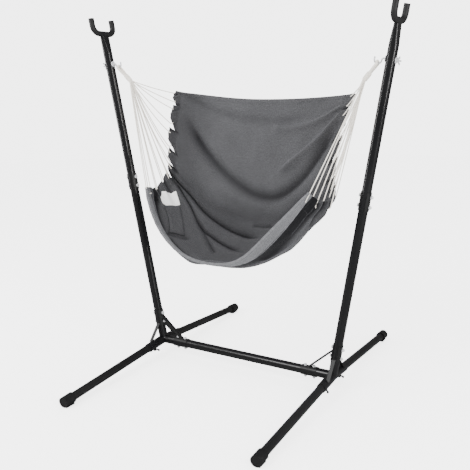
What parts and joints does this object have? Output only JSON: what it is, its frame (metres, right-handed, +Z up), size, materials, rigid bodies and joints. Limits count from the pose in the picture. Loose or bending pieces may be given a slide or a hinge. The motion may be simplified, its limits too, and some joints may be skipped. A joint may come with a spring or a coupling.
{
  "type": "hammock chair on stand",
  "caption": "Cotton hammock chair with a hemmed cloth seat and fanned suspension cords, hooked between the two leaning posts of a bolted tubular steel stand.",
  "frame": {"origin": "on the floor, midway between the four feet, under the middle of the base bar", "axes": "+X runs along the base bar to the right of someone facing the seat, +Y points to the back of the seat, +Z is up"},
  "size_m": [1.4158, 1.203, 1.5187],
  "materials": {
    "post_paint": "satin black powder coat",
    "foot_paint": "matt black powder coat",
    "plate_paint": "satin black powder coat over pressed plate",
    "cradle_coat": "satin black",
    "black_plastic": "moulded, fine grain",
    "zinc": "bright zinc plate",
    "cloth": "charcoal cotton canvas weave",
    "hem_cloth": "folded and stitched charcoal cotton canvas",
    "label": "plain white woven label",
    "cord": "natural cotton cord"
  },
  "bodies": {
    "stand": {"base_bar": "post_paint", "left_hub": "post_paint", "right_hub": "post_paint", "left_gussets": "post_paint", "right_gussets": "post_paint", "left_front_foot": "foot_paint", "left_rear_foot": "foot_paint", "right_front_foot": "foot_paint", "right_rear_foot": "foot_paint", "left_front_cap": "black_plastic", "left_rear_cap": "black_plastic", "right_front_cap": "black_plastic", "right_rear_cap": "black_plastic", "left_lower_post": "post_paint", "right_lower_post": "post_paint", "left_upper_post": "post_paint", "right_upper_post": "post_paint", "left_cradle": "cradle_coat", "right_cradle": "cradle_coat", "left_inner_splice": "plate_paint", "left_outer_splice": "plate_paint", "right_inner_splice": "plate_paint", "right_outer_splice": "plate_paint", "left_brace": "plate_paint", "right_brace": "plate_paint", "left_post_plate": "plate_paint", "right_post_plate": "plate_paint", "left_bar_plate": "plate_paint", "right_bar_plate": "plate_paint", "post_bolts": "zinc", "post_nuts": "zinc", "bar_bolts": "zinc", "bar_nuts": "zinc", "left_hook": "zinc", "right_hook": "zinc", "hook_washers": "zinc"},
    "hammock": {"hammock_cloth": "cloth", "front_hem": "hem_cloth", "seat_pocket": "cloth", "care_label": "label", "left_whipping": "cord", "right_whipping": "cord", "left_eye_loop": "cord", "right_eye_loop": "cord", "left_cord_fan": "cord", "right_cord_fan": "cord"},
    "left_front_knob": {"left_front_knob": "black_plastic"},
    "left_rear_knob": {"left_rear_knob": "black_plastic"},
    "right_front_knob": {"right_front_knob": "black_plastic"},
    "right_rear_knob": {"right_rear_knob": "black_plastic"},
    "left_wing_nut": {"left_wing_nut": "zinc"},
    "right_wing_nut": {"right_wing_nut": "zinc"}
  },
  "joints": [
    {"name": "hammock_swing", "type": "hinge", "parent": "stand", "child": "hammock", "pos_m": [0, 0, 1.3092], "axis": [1, 0, 0], "range_deg": [-30, 30]},
    {"name": "left_front_knob_turn", "type": "hinge", "parent": "stand", "child": "left_front_knob", "pos_m": [-0.44, -0.06783, 0.05925], "axis": [0, 0.0698, -0.9976], "continuous": true},
    {"name": "left_rear_knob_turn", "type": "hinge", "parent": "stand", "child": "left_rear_knob", "pos_m": [-0.44, 0.06783, 0.05925], "axis": [0, -0.0698, -0.9976], "continuous": true},
    {"name": "right_front_knob_turn", "type": "hinge", "parent": "stand", "child": "right_front_knob", "pos_m": [0.44, -0.06783, 0.05925], "axis": [0, 0.0698, -0.9976], "continuous": true},
    {"name": "right_rear_knob_turn", "type": "hinge", "parent": "stand", "child": "right_rear_knob", "pos_m": [0.44, 0.06783, 0.05925], "axis": [0, -0.0698, -0.9976], "continuous": true},
    {"name": "left_wing_nut_turn", "type": "hinge", "parent": "stand", "child": "left_wing_nut", "pos_m": [-0.66192, 0, 1.32258], "axis": [-0.9848, 0, -0.1736], "continuous": true},
    {"name": "right_wing_nut_turn", "type": "hinge", "parent": "stand", "child": "right_wing_nut", "pos_m": [0.66192, 0, 1.32258], "axis": [0.9848, 0, -0.1736], "continuous": true}
  ]
}
